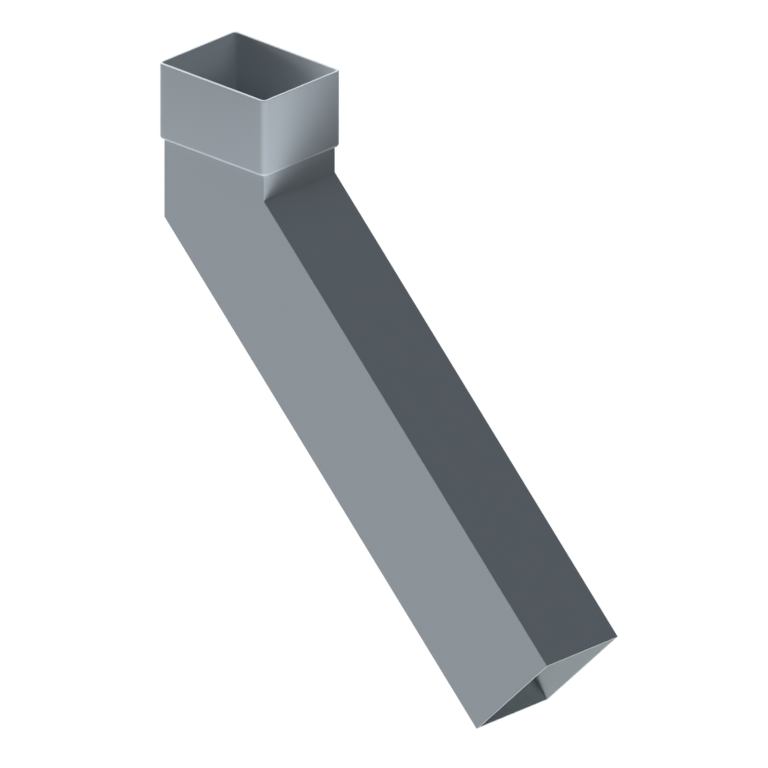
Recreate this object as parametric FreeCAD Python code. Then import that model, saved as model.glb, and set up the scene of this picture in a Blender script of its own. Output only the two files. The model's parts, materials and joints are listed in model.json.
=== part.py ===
import FreeCAD, Part
import math
import os

# Downspout elbow of the long offset kind: a socket that takes the rectangular downpipe
# from above, a short straight neck, one mitred bend, and a long plain leg that slopes
# away and ends in a square cut. It is a single piece of metal, open from end to end.
#
# Frame, in millimetres: the origin is the centre of the socket's mouth, +Z points up out
# of the mouth along the downpipe, and the leg slopes down towards +X. The piece is the
# same on both sides of the plane Y = 0.

# The pipe: the outside of its section, its sheet, and its outside corners
pipe_width = 101.6
pipe_depth = 76.2
wall = 2.2
pipe_corner_radius = 0.3

# The socket: the gap it leaves round the downpipe, and its own outside
socket_clearance = 1.2
socket_height = 61.6
socket_corner_radius = 4.5
shoulder_radius = 3.0

# The inside: the tightest rounding in a hollow corner, and the edge of the ledge
tightest_inside_radius = 0.5
ledge_edge_radius = 1.5

# The neck is measured on its short side, and the leg on its long side, at the heel
neck_length = 20.4
bend_angle = 45.0
heel_length = 450.0

# The most of its room that a rounding takes, and how far hollows run past what they open
rounding_share = 0.95
overrun = 10.0

# Worked out from the sizes above
bend = math.radians(bend_angle)
socket_step = wall + socket_clearance
shoulder_height = -socket_height
ledge_height = shoulder_height + wall
half_mitre = pipe_width / 2 * math.tan(bend / 2)
leg_length = heel_length - half_mitre
bend_centre = FreeCAD.Vector(0, 0, shoulder_height - neck_length - half_mitre)
leg_direction = FreeCAD.Vector(math.sin(bend), 0, -math.cos(bend))


def inside_radius(outside_radius):
    """Rounding on the inside of a bent sheet whose outside rounding is known."""
    return max(outside_radius - wall, tightest_inside_radius)


def fitting_radius(wanted_radius, room):
    """Rounding as wanted, or as large as leaves a narrow strip of its room."""
    return min(wanted_radius, rounding_share * room)


def shoulder_bend_radius():
    """Outside rounding under the socket, inside its step and its upright corners."""
    return fitting_radius(shoulder_radius, min(socket_step, socket_corner_radius))


def rounded_section(width, depth, corner_radius, height):
    """Closed wire round the Z axis: four straight sides joined by quarter circles."""
    near_x = width / 2 - corner_radius
    near_y = depth / 2 - corner_radius
    corners = [(near_x, near_y, 0), (-near_x, near_y, 90), (-near_x, -near_y, 180), (near_x, -near_y, 270)]

    def corner_point(corner, turned):
        """Point on a corner's quarter circle, turned by some degrees from its start."""
        centre_x, centre_y, start = corner
        angle = math.radians(start + turned)
        x = centre_x + corner_radius * math.cos(angle)
        y = centre_y + corner_radius * math.sin(angle)
        return FreeCAD.Vector(x, y, height)

    edges = []
    for corner, following in zip(corners, corners[1:] + corners[:1]):
        arc = Part.Arc(corner_point(corner, 0), corner_point(corner, 45), corner_point(corner, 90))
        side = Part.LineSegment(corner_point(corner, 90), corner_point(following, 0))
        edges.append(arc.toShape())
        edges.append(side.toShape())
    return Part.Wire(edges)


def outline_edges(shape, width, depth, height):
    """Edges that lie flat at one height, and no further out than a rectangle round the Z axis."""
    closeness = 0.001
    found = []
    for edge in shape.Edges:
        box = edge.BoundBox
        off_height = max(abs(box.ZMin - height), abs(box.ZMax - height))
        reach_x = max(abs(box.XMin), abs(box.XMax)) - width / 2
        reach_y = max(abs(box.YMin), abs(box.YMax)) - depth / 2
        if max(off_height, reach_x, reach_y) < closeness:
            found.append(edge)
    return found


def upright_block(width, depth, corner_radius, top, bottom, foot_radius):
    """Block with rounded upright corners and a rounded lower edge."""
    section = Part.Face(rounded_section(width, depth, corner_radius, bottom))
    block = section.extrude(FreeCAD.Vector(0, 0, top - bottom))
    return block.makeFillet(foot_radius, outline_edges(block, width, depth, bottom))


def mitred_bar(width, depth, corner_radius, extra_length):
    """Bar that runs down from half-way up the socket, turns at the mitre and follows the leg.

    One section is carried along both straight runs, and the runs meet on the plane that
    halves the bend.
    """
    start = FreeCAD.Vector(0, 0, shoulder_height / 2)
    end = bend_centre + leg_direction * (leg_length + extra_length)
    neck_run = Part.LineSegment(start, bend_centre)
    leg_run = Part.LineSegment(bend_centre, end)
    centre_line = Part.Wire([neck_run.toShape(), leg_run.toShape()])
    section = rounded_section(width, depth, corner_radius, start.z)
    as_solid = True
    twisting = False
    mitred_corner = 1
    return centre_line.makePipeShell([section], as_solid, twisting, mitred_corner)


def outer_form():
    """The whole outside: the socket, with the pipe growing out of its underside."""
    socket = upright_block(
        pipe_width + 2 * socket_step,
        pipe_depth + 2 * socket_step,
        socket_corner_radius,
        0,
        shoulder_height,
        shoulder_bend_radius(),
    )
    pipe = mitred_bar(pipe_width, pipe_depth, pipe_corner_radius, 0)
    return socket.fuse(pipe)


def hollow_form():
    """The whole inside: the socket's hollow, its rounded ledge, and the waterway below."""
    corner_radius = inside_radius(socket_corner_radius)
    foot_radius = fitting_radius(inside_radius(shoulder_bend_radius()), corner_radius)
    socket_hollow = upright_block(
        pipe_width + 2 * socket_clearance,
        pipe_depth + 2 * socket_clearance,
        corner_radius,
        overrun,
        ledge_height,
        foot_radius,
    )
    waterway_width = pipe_width - 2 * wall
    waterway_depth = pipe_depth - 2 * wall
    waterway = mitred_bar(waterway_width, waterway_depth, inside_radius(pipe_corner_radius), overrun)
    hollow = socket_hollow.fuse(waterway)
    ledge_edges = outline_edges(hollow, waterway_width, waterway_depth, ledge_height)
    ledge_rounding = fitting_radius(ledge_edge_radius, socket_step - foot_radius)
    return hollow.makeFillet(ledge_rounding, ledge_edges)


def elbow_body():
    """The elbow as one solid of even wall."""
    return outer_form().cut(hollow_form()).removeSplitter()


os.makedirs("parts", exist_ok=True)
body = elbow_body()
body.exportStep("parts/elbow_body.step")

box = body.optimalBoundingBox(False)
print("solids", len(body.Solids), "faces", len(body.Faces), "valid", body.isValid())
print("volume mm3", round(body.Volume, 1))
print("box X", round(box.XMin, 3), round(box.XMax, 3), "Y", round(box.YMin, 3), round(box.YMax, 3))
print("box Z", round(box.ZMin, 3), round(box.ZMax, 3))
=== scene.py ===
# %% [markdown]
# # A downspout elbow
# The real thing is a long downpipe offset: a rectangular socket that steps in over a
# rounded shoulder, a short neck, a mitred bend, and a long plain leg with a square cut
# end. It is one piece of sheet with a satin grey coat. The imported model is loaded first,
# because everything below is measured from it.

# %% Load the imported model
import json
import math
import bpy
import numpy as np
from mathutils import Matrix, Vector


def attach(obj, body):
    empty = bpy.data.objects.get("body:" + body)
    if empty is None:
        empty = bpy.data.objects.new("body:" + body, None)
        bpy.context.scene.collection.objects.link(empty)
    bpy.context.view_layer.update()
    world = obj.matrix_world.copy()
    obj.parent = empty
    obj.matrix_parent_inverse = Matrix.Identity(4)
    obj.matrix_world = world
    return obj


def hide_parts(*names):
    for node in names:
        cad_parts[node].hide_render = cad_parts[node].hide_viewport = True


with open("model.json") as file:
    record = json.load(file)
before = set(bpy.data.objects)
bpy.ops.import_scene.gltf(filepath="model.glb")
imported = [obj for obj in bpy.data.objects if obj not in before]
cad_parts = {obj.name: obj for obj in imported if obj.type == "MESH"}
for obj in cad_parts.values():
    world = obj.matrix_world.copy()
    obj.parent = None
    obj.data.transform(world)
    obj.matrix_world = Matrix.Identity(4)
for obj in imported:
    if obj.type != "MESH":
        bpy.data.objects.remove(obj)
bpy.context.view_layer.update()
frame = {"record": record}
mounts = {mount["name"]: mount for mount in frame["record"]["mounts"]}

# %% [markdown]
# ## Sizes
# These are the sizes that the sheet was made to, in metres. The solid has sharp edges at
# the rim and at the cut end, where a real sheet has a slightly dulled edge that catches
# the light. The new skin has the solid's shape and adds those small roundings. The last
# three are angles: the lean of the socket's bellied sides.

# %% Name the sizes
pipe_width, pipe_depth = 0.1016, 0.0762
wall = 0.0022
pipe_corner, waterway_corner = 0.0003, 0.0005
socket_clearance = 0.0012
socket_step = wall + socket_clearance
socket_height = 0.0616
socket_corner = 0.0045
hollow_corner = socket_corner - wall
shoulder_radius = 0.003
foot_radius = shoulder_radius - wall
lip_radius = 0.0015
rim_radius = 0.0007
cut_radius = 0.0002
root_radius = 0.0002
ledge = wall - socket_height
belly_sideways, belly_down, belly_inside = math.radians(6), math.radians(4), math.radians(12)
print("sheet", wall * 1000, "mm thick, socket steps out by", round(socket_step * 1000, 2), "mm")

# %% [markdown]
# ## Two straight runs
# The elbow has two straight runs, the neck and the leg. Each has a point on its centre
# line to measure from, one direction across its width, and one up the pipe. The leg's
# are read from the model's own mounts, so the skin meets the solid exactly.

# %% Find the neck and the leg
inlet = np.array(mounts["inlet_socket"]["pos_m"], dtype=float)
outlet = np.array(mounts["outlet_spigot"]["pos_m"], dtype=float)
downstream = np.array(mounts["outlet_spigot"]["axis"], dtype=float)
downstream /= np.linalg.norm(downstream)
bend = math.acos(-downstream[2])
leg_length = (outlet[0] - inlet[0]) / downstream[0]
bend_height = outlet[2] - downstream[2] * leg_length
depthwise = np.array([0.0, 1.0, 0.0])
neck = (inlet, np.array([1.0, 0.0, 0.0]), np.array([0.0, 0.0, 1.0]))
leg = (outlet, np.array([-downstream[2], 0.0, downstream[0]]), -downstream)
print("bend of", round(math.degrees(bend), 2), "degrees, leg", round(leg_length, 4), "m long")

# %% [markdown]
# ## The section
# Cut across anywhere, the sheet's outline is a rectangle with rounded corners. It is made
# as a ring of points with the direction that each one faces. Every ring has as many
# points as the next, in the same order, so any two can be joined by four-sided faces.
# The socket was pressed wider than the pipe, and its sides came out very slightly
# bellied. That is far too little to measure, but it shows as a soft change of tone
# towards the edges, most of all inside the mouth, so it goes into the directions and not
# into the points.

# %% Draw one outline
corner_steps = 8
side_steps = {"short": 10, "long": 14}


def unit_arrows(angle):
    """One row (cosine, sine) for each angle."""
    return np.stack([np.cos(angle), np.sin(angle)], axis=1)


def outline(offset, corner_radius, belly=0.0, evenly=False):
    """Points (x, y) of a rounded rectangle and the directions that they face.

    The sides lie offset outside the pipe's own faces. A corner is a quarter circle: its
    centre plus the radius times the cosine and sine of an angle that runs through 90
    degrees. Along a side the points are evenly spaced and face as the side does. A belly
    leans them outwards by that angle at the side's ends. Towards the middle the lean fades
    with the square of the distance, or evenly.
    """
    reach = np.array([pipe_width, pipe_depth]) / 2 + offset - corner_radius
    centres = reach * np.array([[1, 1], [-1, 1], [-1, -1], [1, -1]])
    points, facing = [], []
    for number, centre in enumerate(centres):
        share = np.linspace(0, 1, corner_steps + 1)
        angle = (share + number) * math.pi / 2
        arc_points = centre + corner_radius * unit_arrows(angle)
        steps = side_steps["short" if number % 2 else "long"]
        along = np.arange(1, steps) / steps
        side_end = centres[(number + 1) % 4] + corner_radius * unit_arrows(angle[-1:])
        points += [arc_points, arc_points[-1] + along[:, None] * (side_end - arc_points[-1])]
        lean = belly * (2 * along - 1) * (1 if evenly else abs(2 * along - 1))
        facing += [unit_arrows(angle + belly * (1 - 2 * share)), unit_arrows(angle[-1] + lean)]
    return np.concatenate(points), np.concatenate(facing)


print("points round the section:", len(outline(0, pipe_corner)[0]))

# %% [markdown]
# ## Rings in their places
# A ring is the outline laid square across one run. While the sheet turns over, from its
# outside to its inside, the ring's facing tilts from sideways to up the pipe or down it.
# On the mitre both runs share one outline, but the faces turn there at once, as a folded
# sheet does, so that ring keeps one facing for each side of the fold.

# %% Lay rings on the runs


def lay(run, offset, corner_radius, height, tilt, belly=0.0):
    """A ring on a run: its points, and the facing of each as a unit arrow.

    Point = the run's point + x across + y depthwise + height up the pipe.
    Facing = cosine of the tilt times the outline's own, + sine of the tilt up the pipe.
    On a ring that faces inwards the belly's lean fades evenly.
    """
    start, across, up = run
    points, facing = outline(offset, corner_radius, belly, math.cos(tilt) < 0)
    sideways = facing[:, :1] * across + facing[:, 1:] * depthwise
    place = start + points[:, :1] * across + points[:, 1:] * depthwise + height * up
    return place, math.cos(tilt) * sideways + math.sin(tilt) * up


def lay_on_mitre(offset, corner_radius, tilt):
    """The ring that both runs share: height grows with x by the tangent of half the bend."""
    points, facing = lay(neck, offset, corner_radius, bend_height, tilt)
    points[:, 2] += points[:, 0] * math.tan(bend / 2)
    return points, facing, lay(leg, offset, corner_radius, 0, tilt)[1]


mitre_heights = lay_on_mitre(0, pipe_corner, 0)[0][:, 2]
print("mitre from", round(float(mitre_heights.min()), 4), "to", round(float(mitre_heights.max()), 4))

# %% [markdown]
# ## A walk round the sheet
# The whole surface is one closed strip: over the rim, down the outside to the cut end,
# round the cut edge, up the inside, over the ledge that the downpipe stands on, and back
# to the rim. Where the sheet turns, the walk takes an arc in small steps, and along the
# straight parts it puts in plain rings, so that the faces stay well shaped. The coats of
# both walls reach a few steps onto the rim's arcs, and only the crest between them gets
# the pale colour, a painted highlight.

# %% Walk down the outside
rim_steps, outside_reach, mouth_reach = 5, 1, 3
ring_points, facing_before, facing_after, ring_finish = [], [], [], []


def step(finish, points, facing, facing_past=None):
    """Adds one ring. The finish is that of the band of faces which starts at it."""
    ring_points.append(points)
    facing_before.append(facing)
    facing_after.append(facing if facing_past is None else facing_past)
    ring_finish.append(finish)


def run_to(points, facing, rings):
    """Adds plain rings between the last ring and a coming one, evenly spaced.

    Points and facings are both blended in a straight line, and the facings then get
    their length of one again.
    """
    first, begun = ring_points[-1], facing_after[-1]
    for share in np.arange(1, rings) / rings:
        blend = begun + share * (facing - begun)
        blend /= np.linalg.norm(blend, axis=1, keepdims=True)
        step(ring_finish[-1], first + share * (points - first), blend)


def turn(run, offset, height, radius, start, end, steps, corner,
         finish="outside", hollow=False, belly=(0.0, 0.0)):
    """Follows a small arc in the sheet's profile, from one angle to another in degrees.

    Offset and height are the arc's centre plus the radius times the cosine and sine of
    the angle. A ridge faces away from the centre, and a hollow faces towards it. The
    corner radius grows with the offset, from a known (offset, radius) pair. A belly's
    two angles lean the facings sideways, and down where the arc starts level.
    """
    for angle in np.radians(np.linspace(start, end, steps + 1)):
        along = offset + radius * math.cos(angle)
        up = height + radius * math.sin(angle)
        tilt = angle + math.pi if hollow else angle - belly[1] * math.cos(angle)
        step(finish, *lay(run, along, corner[1] + along - corner[0], up, tilt, belly[0]))


outer_corner = (socket_step, socket_corner)
pipe_outside = (0, pipe_corner)
shoulder_top = shoulder_radius - socket_height
turn(neck, socket_step - rim_radius, -rim_radius, rim_radius, 90, 0, rim_steps, outer_corner,
     "rim", belly=(belly_sideways, 0))
ring_finish[-1 - outside_reach:] = ["outside"] * (1 + outside_reach)
run_to(*lay(neck, socket_step, socket_corner, shoulder_top, -belly_down, belly_sideways), 8)
turn(neck, socket_step - shoulder_radius, shoulder_top, shoulder_radius, 0, -90, 10, outer_corner,
     "shoulder", belly=(belly_sideways, belly_down))
ring_finish[-1] = "outside"
turn(neck, root_radius, -socket_height - root_radius, root_radius, 90, 180, 3, pipe_outside, hollow=True)
fold, on_neck, on_leg = lay_on_mitre(0, pipe_corner, 0)
run_to(fold, on_neck, 5)
step("outside", fold, on_neck, on_leg)
run_to(*lay(leg, 0, pipe_corner, cut_radius, 0), 36)
print("rings down the outside:", len(ring_points))

# %% [markdown]
# The inside is the same walk in the other direction, one wall thickness in. Its mitre
# ring lies on the same plane as the outer one, so the wall is as thick through the bend.

# %% Walk up the inside
waterway = (-wall, waterway_corner)
hollow = (socket_clearance, hollow_corner)
turn(leg, -cut_radius, cut_radius, cut_radius, 0, -90, 3, pipe_outside, "cut")
turn(leg, cut_radius - wall, cut_radius, cut_radius, -90, -180, 3, waterway, "cut")
ring_finish[-1] = "inside"
fold, on_neck, on_leg = lay_on_mitre(-wall, waterway_corner, math.pi)
run_to(fold, on_leg, 36)
step("inside", fold, on_leg, on_neck)
run_to(*lay(neck, -wall, waterway_corner, ledge - lip_radius, math.pi), 5)
turn(neck, lip_radius - wall, ledge - lip_radius, lip_radius, 180, 90, 6, waterway, "inside")
turn(neck, socket_clearance - foot_radius, ledge + foot_radius, foot_radius, -90, 0, 4, hollow,
     "mouth", hollow=True, belly=(belly_inside, 0))
run_to(*lay(neck, socket_clearance, hollow_corner, -rim_radius, math.pi, belly_inside), 8)
rim_start = len(ring_finish)
turn(neck, socket_clearance + rim_radius, -rim_radius, rim_radius, 180, 90, rim_steps, hollow,
     "rim", belly=(belly_inside, 0))
ring_finish[rim_start:rim_start + mouth_reach] = ["mouth"] * mouth_reach
print("rings round the whole sheet:", len(ring_points))

# %% [markdown]
# ## From rings to a mesh
# Each pair of neighbouring rings is joined by a band of faces, and the last ring is
# joined to the first, so the skin is closed and encloses only the metal. The facings
# worked out above become the mesh's own normals: flat walls stay flat up to the edge of
# each rounding, and the fold at the mitre stays crisp.

# %% Join the rings


def joined_skin(name, finishes):
    """A closed mesh from the rings.

    Corner (ring, point) is joined to (ring + 1, point), (ring + 1, point + 1) and
    (ring, point + 1), with both counts starting again after their last.
    """
    rings, points = len(ring_points), len(ring_points[0])
    ring, point = np.meshgrid(np.arange(rings), np.arange(points), indexing="ij")
    next_ring, next_point = (ring + 1) % rings, (point + 1) % points
    corner_ring = np.stack([ring, next_ring, next_ring, ring], axis=-1).reshape(-1, 4)
    corner_point = np.stack([point, point, next_point, next_point], axis=-1).reshape(-1, 4)
    mesh = bpy.data.meshes.new(name)
    places = np.concatenate(ring_points)
    mesh.from_pydata(places.tolist(), [], (corner_ring * points + corner_point).tolist())
    for finish in finishes.values():
        mesh.materials.append(finish)
    numbers = np.array([list(finishes).index(finish) for finish in ring_finish])
    mesh.polygons.foreach_set("material_index", np.repeat(numbers, points))
    mesh.polygons.foreach_set("use_smooth", np.ones(rings * points, dtype=bool))
    after, before = np.stack(facing_after), np.stack(facing_before)
    at_start = after[corner_ring, corner_point]
    at_end = before[corner_ring, corner_point]
    facing = np.where(np.array([True, False, False, True])[None, :, None], at_start, at_end)
    mesh.normals_split_custom_set(facing.reshape(-1, 3).tolist())
    mesh.update()
    return mesh


# %% [markdown]
# ## The coat
# The finish is a satin grey coat on metal. From a step away it is even, and close up it
# has a very fine peel, like all sprayed coats, and its tone drifts by a percent or two
# over a hand's width. Both are noise in the object's own coordinates, so that they stay
# in place from every side. They sit in one node group, which all the finishes share with
# values of their own.

# %% Build the coat's texture group


def add_node(tree, kind, **settings):
    """One node, with its properties or unlinked inputs set by name."""
    node = tree.nodes.new(kind)
    for key, value in settings.items():
        if hasattr(node, key):
            setattr(node, key, value)
        else:
            node.inputs[key].default_value = value
    return node


def surface_variation():
    """Group: three sizes of noise become a drifting colour, a roughness and a peel height."""
    tree = bpy.data.node_groups.new("surface_variation", "ShaderNodeTree")
    sockets = tree.interface
    for title, kind, value in (
        ("Light Tone", "NodeSocketColor", (0.3, 0.3, 0.3, 1)),
        ("Dark Tone", "NodeSocketColor", (0.25, 0.25, 0.25, 1)),
        ("Least Roughness", "NodeSocketFloat", 0.4),
        ("Most Roughness", "NodeSocketFloat", 0.5),
        ("Drift Scale", "NodeSocketFloat", 12.0),
        ("Peel Scale", "NodeSocketFloat", 900.0),
    ):
        sockets.new_socket(title, in_out="INPUT", socket_type=kind).default_value = value
    for title, kind in (
        ("Tone", "NodeSocketColor"),
        ("Roughness", "NodeSocketFloat"),
        ("Peel", "NodeSocketFloat"),
    ):
        sockets.new_socket(title, in_out="OUTPUT", socket_type=kind)
    given = tree.nodes.new("NodeGroupInput")
    result = tree.nodes.new("NodeGroupOutput")
    place = tree.nodes.new("ShaderNodeTexCoord")
    drift = add_node(tree, "ShaderNodeTexNoise", Detail=3.0, Roughness=0.55)
    grain = add_node(tree, "ShaderNodeTexNoise", Detail=2.0, Roughness=0.5)
    fine = add_node(tree, "ShaderNodeTexNoise", Scale=260.0, Detail=4.0)
    mix_tone = add_node(tree, "ShaderNodeMix", data_type="RGBA")
    blend = add_node(tree, "ShaderNodeMix", data_type="FLOAT")
    blend.inputs["Factor"].default_value = 0.35
    satin = add_node(tree, "ShaderNodeMapRange")
    link = tree.links.new
    for noise in (drift, grain, fine):
        link(place.outputs["Object"], noise.inputs["Vector"])
    link(given.outputs["Drift Scale"], drift.inputs["Scale"])
    link(given.outputs["Peel Scale"], grain.inputs["Scale"])
    link(drift.outputs["Fac"], blend.inputs[2])
    link(fine.outputs["Fac"], blend.inputs[3])
    link(blend.outputs[0], mix_tone.inputs[0])
    link(given.outputs["Dark Tone"], mix_tone.inputs[6])
    link(given.outputs["Light Tone"], mix_tone.inputs[7])
    link(mix_tone.outputs[2], result.inputs["Tone"])
    link(blend.outputs[0], satin.inputs["Value"])
    link(given.outputs["Least Roughness"], satin.inputs["To Min"])
    link(given.outputs["Most Roughness"], satin.inputs["To Max"])
    link(satin.outputs["Result"], result.inputs["Roughness"])
    link(grain.outputs["Fac"], result.inputs["Peel"])
    return tree


variation = surface_variation()
print("group", variation.name, "with", len(variation.nodes), "nodes")

# %% [markdown]
# The coat is not metallic itself: it has a low gloss, a middling roughness, and a bump of
# a few thousandths of a millimetre for its peel. The shoulder is rubbed a little
# smoother, and a thin clear film gives it one small spot of light at the front corner.
# The inside is painted paler than the outside, as painted light for the light that
# bounces inside the pipe, and the mouth is painted paler again for the same reason. The cut
# end is the darkest. The rim is painted palest of all: a painted highlight that draws the
# fine light line round the mouth.

# %% Mix the finishes
film_roughness = 0.21


def coated(name, values, peel_height, gloss, clear=0.0):
    """A material: the group feeds colour, roughness and bump, and plain numbers go in directly.

    Clear is the share of a thin, smoother clear film on top.
    """
    material = bpy.data.materials.new(name)
    material.use_nodes = True
    tree = material.node_tree
    shader = tree.nodes["Principled BSDF"]
    shader.inputs["Metallic"].default_value = 0.0
    shader.inputs["Specular IOR Level"].default_value = gloss
    shader.inputs["Coat Weight"].default_value = clear
    shader.inputs["Coat Roughness"].default_value = film_roughness
    group = tree.nodes.new("ShaderNodeGroup")
    group.node_tree = variation
    for title, value in values.items():
        group.inputs[title].default_value = value
    bump = add_node(tree, "ShaderNodeBump", Strength=1.0, Distance=peel_height)
    tree.links.new(group.outputs["Tone"], shader.inputs["Base Color"])
    tree.links.new(group.outputs["Roughness"], shader.inputs["Roughness"])
    tree.links.new(group.outputs["Peel"], bump.inputs["Height"])
    tree.links.new(bump.outputs["Normal"], shader.inputs["Normal"])
    return material


def around(colour, spread):
    """The light and the dark tone that lie evenly on both sides of a colour."""
    return {
        "Light Tone": tuple(x * (1 + spread) for x in colour) + (1,),
        "Dark Tone": tuple(x * (1 - spread) for x in colour) + (1,),
    }


satin = {"Least Roughness": 0.40, "Most Roughness": 0.52, "Drift Scale": 12.0, "Peel Scale": 900.0}
dulled = {"Least Roughness": 0.30, "Most Roughness": 0.45, "Drift Scale": 40.0, "Peel Scale": 1500.0}
coat_grey = (0.270, 0.300, 0.330)
finishes = {
    "outside": coated("grey_coat", around(coat_grey, 0.03) | satin, 0.000004, 0.25),
    "shoulder": coated("rubbed_coat", around(coat_grey, 0.03) | satin, 0.000003, 0.25, 0.6),
    # The inside's paler colour is painted light, standing in for the light that bounces inside the pipe.
    "inside": coated("inner_coat_painted_light", around((0.345, 0.38, 0.395), 0.04) | satin, 0.000004, 0.25),
    # The mouth's still paler colour is painted light inside the socket's mouth.
    "mouth": coated("mouth_coat_painted_light", around((0.485, 0.525, 0.56), 0.04) | satin, 0.000004, 0.25),
    "cut": coated("cut_edge", around((0.175, 0.19, 0.20), 0.05) | satin, 0.000004, 0.25),
    # The rim's near-white colour is a painted highlight: the fine light line round the mouth.
    "rim": coated("rim_painted_highlight", around((0.75, 0.82, 0.87), 0.05) | dulled, 0.000003, 0.4),
}
print("finishes:", *finishes)

# %% [markdown]
# ## The piece itself
# The skin stands for the solid: it rides on the same body and lies within the solid's
# box, and the solid itself is hidden.

# %% Put the skin in place
elbow = bpy.data.objects.new("elbow_skin", joined_skin("elbow_skin", finishes))
bpy.context.scene.collection.objects.link(elbow)
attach(elbow, "root")
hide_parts("elbow_body")
print("faces:", len(elbow.data.polygons), "in", len(elbow.data.materials), "finishes")

# %% [markdown]
# ## The lamps
# The key is low, in front and to the right. It makes the underside of the shoulder and
# the rounded corner the brightest places, and the leg keeps the right of the neck in a
# soft shade. Two weaker ones lie nearer the front. Three on the left, two low and one
# high behind, draw the rim and light the inside of the mouth. A weak one on the right and
# one overhead are slightly blue, as daylight is. All are far away and broad, so that each
# flat face gets an even light with soft edges.
#
# Broad lamps of this strength would turn a satin face white where it is seen at a low
# angle, so they don't show in reflections. Only the spark does, a weak and narrow lamp in
# the key's place, and it makes the shoulder's small bright spot.

# %% Hang the lamps
white, sky_blue = (1.0, 1.0, 1.0), (0.91, 1.0, 1.06)
lamps = {
    "key": ((0.495, -0.25, -0.828), 5.65, 24, white),
    "spark": ((0.495, -0.25, -0.828), 0.55, 8, white),
    "low_front": ((0.47, -0.51, -0.72), 0.85, 24, white),
    "front": ((0.05, -0.90, -0.43), 0.27, 24, white),
    "left": ((-0.93, 0.04, 0.36), 4.4, 16, white),
    "low_left": ((-0.95, -0.28, 0.12), 1.2, 11, white),
    "high_behind": ((-0.70, 0.45, 0.555), 1.0, 14, white),
    "low_right": ((0.96, 0.13, 0.25), 0.33, 16, sky_blue),
    "overhead": ((0.0, 0.05, 1.0), 0.50, 30, sky_blue),
}


def soft_lamp(name, towards, strength, width, colour):
    """A far lamp, as wide as an angle in degrees. Towards is the direction in which it lies.

    Only the one called spark shows in reflections.
    """
    lamp = bpy.data.lights.new(name, "SUN")
    lamp.energy = strength
    lamp.color = colour
    lamp.angle = math.radians(width)
    holder = bpy.data.objects.new(name, lamp)
    holder.visible_glossy = name == "spark"
    holder.rotation_euler = Vector(towards).to_track_quat("Z", "Y").to_euler()
    bpy.context.scene.collection.objects.link(holder)


for name, (towards, strength, width, colour) in lamps.items():
    soft_lamp(name, towards, strength, width, colour)
print("lamps:", *lamps)

# %% [markdown]
# ## The floor and the white around it
# The elbow hangs from the pipe above, so it stands on nothing, and the floor is far
# below it. The picture's ground is plain white. A pale floor under these lamps would be
# grey, so it glows by what is missing to white, and for the camera, mirror and glass rays
# only, and so does the sky. Some lamps shine up from below the floor's level, so the floor
# lets their light through and throws none back. It still takes the elbow's shadow.

# %% Lay the floor
# The floor glows a touch past white, so that the edge of a faint shadow stays white.
world_level = 0.05
floor_height, floor_reach, floor_paleness = -1.6, 14.0, 0.8
past_white = 1.02
from_above = sum(
    strength * max(Vector(towards).normalized().z, 0)
    for towards, strength, *_ in lamps.values()
)
missing_to_white = max(past_white - floor_paleness * (from_above / math.pi + world_level), 0)


def seen_as(tree, strength_input, seen, given):
    """Strength is one number for camera, mirror and glass rays, and another for the rest."""
    path = tree.nodes.new("ShaderNodeLightPath")
    first = add_node(tree, "ShaderNodeMath", operation="MAXIMUM")
    second = add_node(tree, "ShaderNodeMath", operation="MAXIMUM")
    choice = tree.nodes.new("ShaderNodeMapRange")
    choice.inputs["To Min"].default_value = given
    choice.inputs["To Max"].default_value = seen
    tree.links.new(path.outputs["Is Camera Ray"], first.inputs[0])
    tree.links.new(path.outputs["Is Glossy Ray"], first.inputs[1])
    tree.links.new(first.outputs[0], second.inputs[0])
    tree.links.new(path.outputs["Is Transmission Ray"], second.inputs[1])
    tree.links.new(second.outputs[0], choice.inputs["Value"])
    tree.links.new(choice.outputs["Result"], strength_input)


floor_mesh = bpy.data.meshes.new("floor")
floor_corners = [
    (x * floor_reach, y * floor_reach, floor_height)
    for x, y in ((-1, -1), (1, -1), (1, 1), (-1, 1))
]
floor_mesh.from_pydata(floor_corners, [], [(0, 1, 2, 3)])
floor = bpy.data.objects.new("floor", floor_mesh)
floor.visible_shadow = False
floor.visible_diffuse = False
bpy.context.scene.collection.objects.link(floor)

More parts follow.
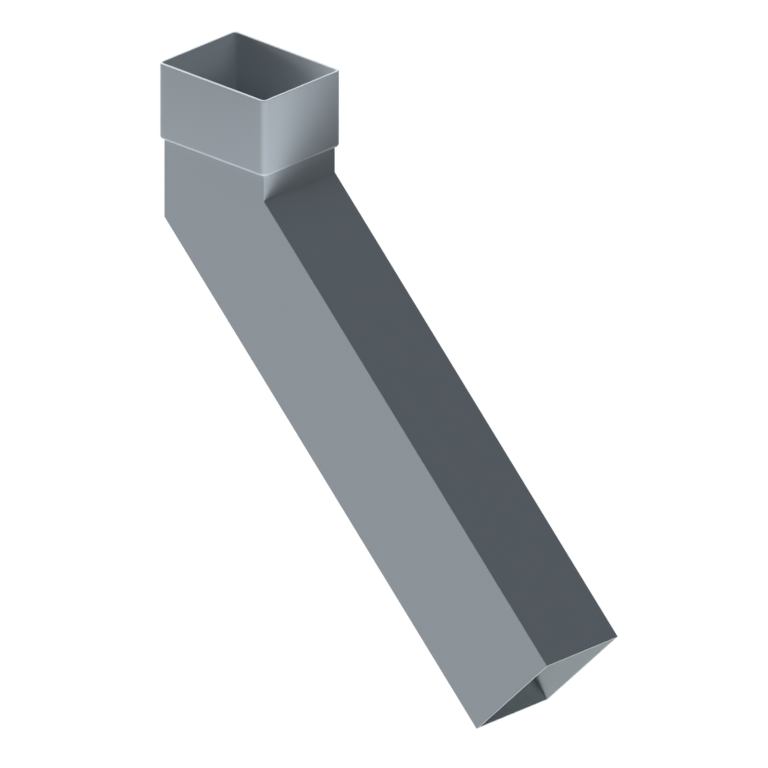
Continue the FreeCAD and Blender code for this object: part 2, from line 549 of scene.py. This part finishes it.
paint = bpy.data.materials.new("floor_white")
paint.use_nodes = True
paint_shader = paint.node_tree.nodes["Principled BSDF"]
paint_shader.inputs["Base Color"].default_value = (floor_paleness, floor_paleness, floor_paleness, 1)
paint_shader.inputs["Roughness"].default_value = 1.0
paint_shader.inputs["Specular IOR Level"].default_value = 0.0
paint_shader.inputs["Emission Color"].default_value = (1, 1, 1, 1)
seen_as(paint.node_tree, paint_shader.inputs["Emission Strength"], missing_to_white, 0.0)
floor_mesh.materials.append(paint)

world = bpy.data.worlds.new("studio")
bpy.context.scene.world = world
world.use_nodes = True
sky = world.node_tree.nodes["Background"]
sky.inputs["Color"].default_value = (1, 1, 1, 1)
seen_as(world.node_tree, sky.inputs["Strength"], 1.0, world_level)
print("floor at", floor_height, "m glows by", round(missing_to_white, 3), "and the sky lights by", world_level)

# %% [markdown]
# ## The camera
# The picture has no perspective: the leg's edges stay parallel. So the camera is
# orthographic. Its angle and scale were solved from the corners of the elbow in the
# picture, and so was the point that it aims at: so far right of the socket's mouth, and
# so far below it, that the elbow sits in the frame as it does in the picture.

# %% Set the camera
azimuth, elevation = math.radians(43.514), math.radians(23.163)
picture_pixels, pixels_a_metre = 768, 1353.03
aim_right, aim_down = 0.09935, 0.23493
distance = 3
back = Vector((
    math.sin(azimuth) * math.cos(elevation),
    -math.cos(azimuth) * math.cos(elevation),
    math.sin(elevation),
))
right = Vector((math.cos(azimuth), math.sin(azimuth), 0))
above = back.cross(right)
aim = right * aim_right - above * aim_down
camera_data = bpy.data.cameras.new("camera")
camera_data.type = "ORTHO"
camera_data.ortho_scale = picture_pixels / pixels_a_metre
camera_data.clip_end = 60
camera = bpy.data.objects.new("camera", camera_data)
facing_matrix = Matrix((right, above, back)).transposed().to_4x4()
camera.matrix_world = Matrix.Translation(aim + back * distance) @ facing_matrix
bpy.context.scene.collection.objects.link(camera)
bpy.context.scene.camera = camera
bpy.context.scene.view_settings.view_transform = "Standard"
print("camera looks from", [round(x, 3) for x in back])
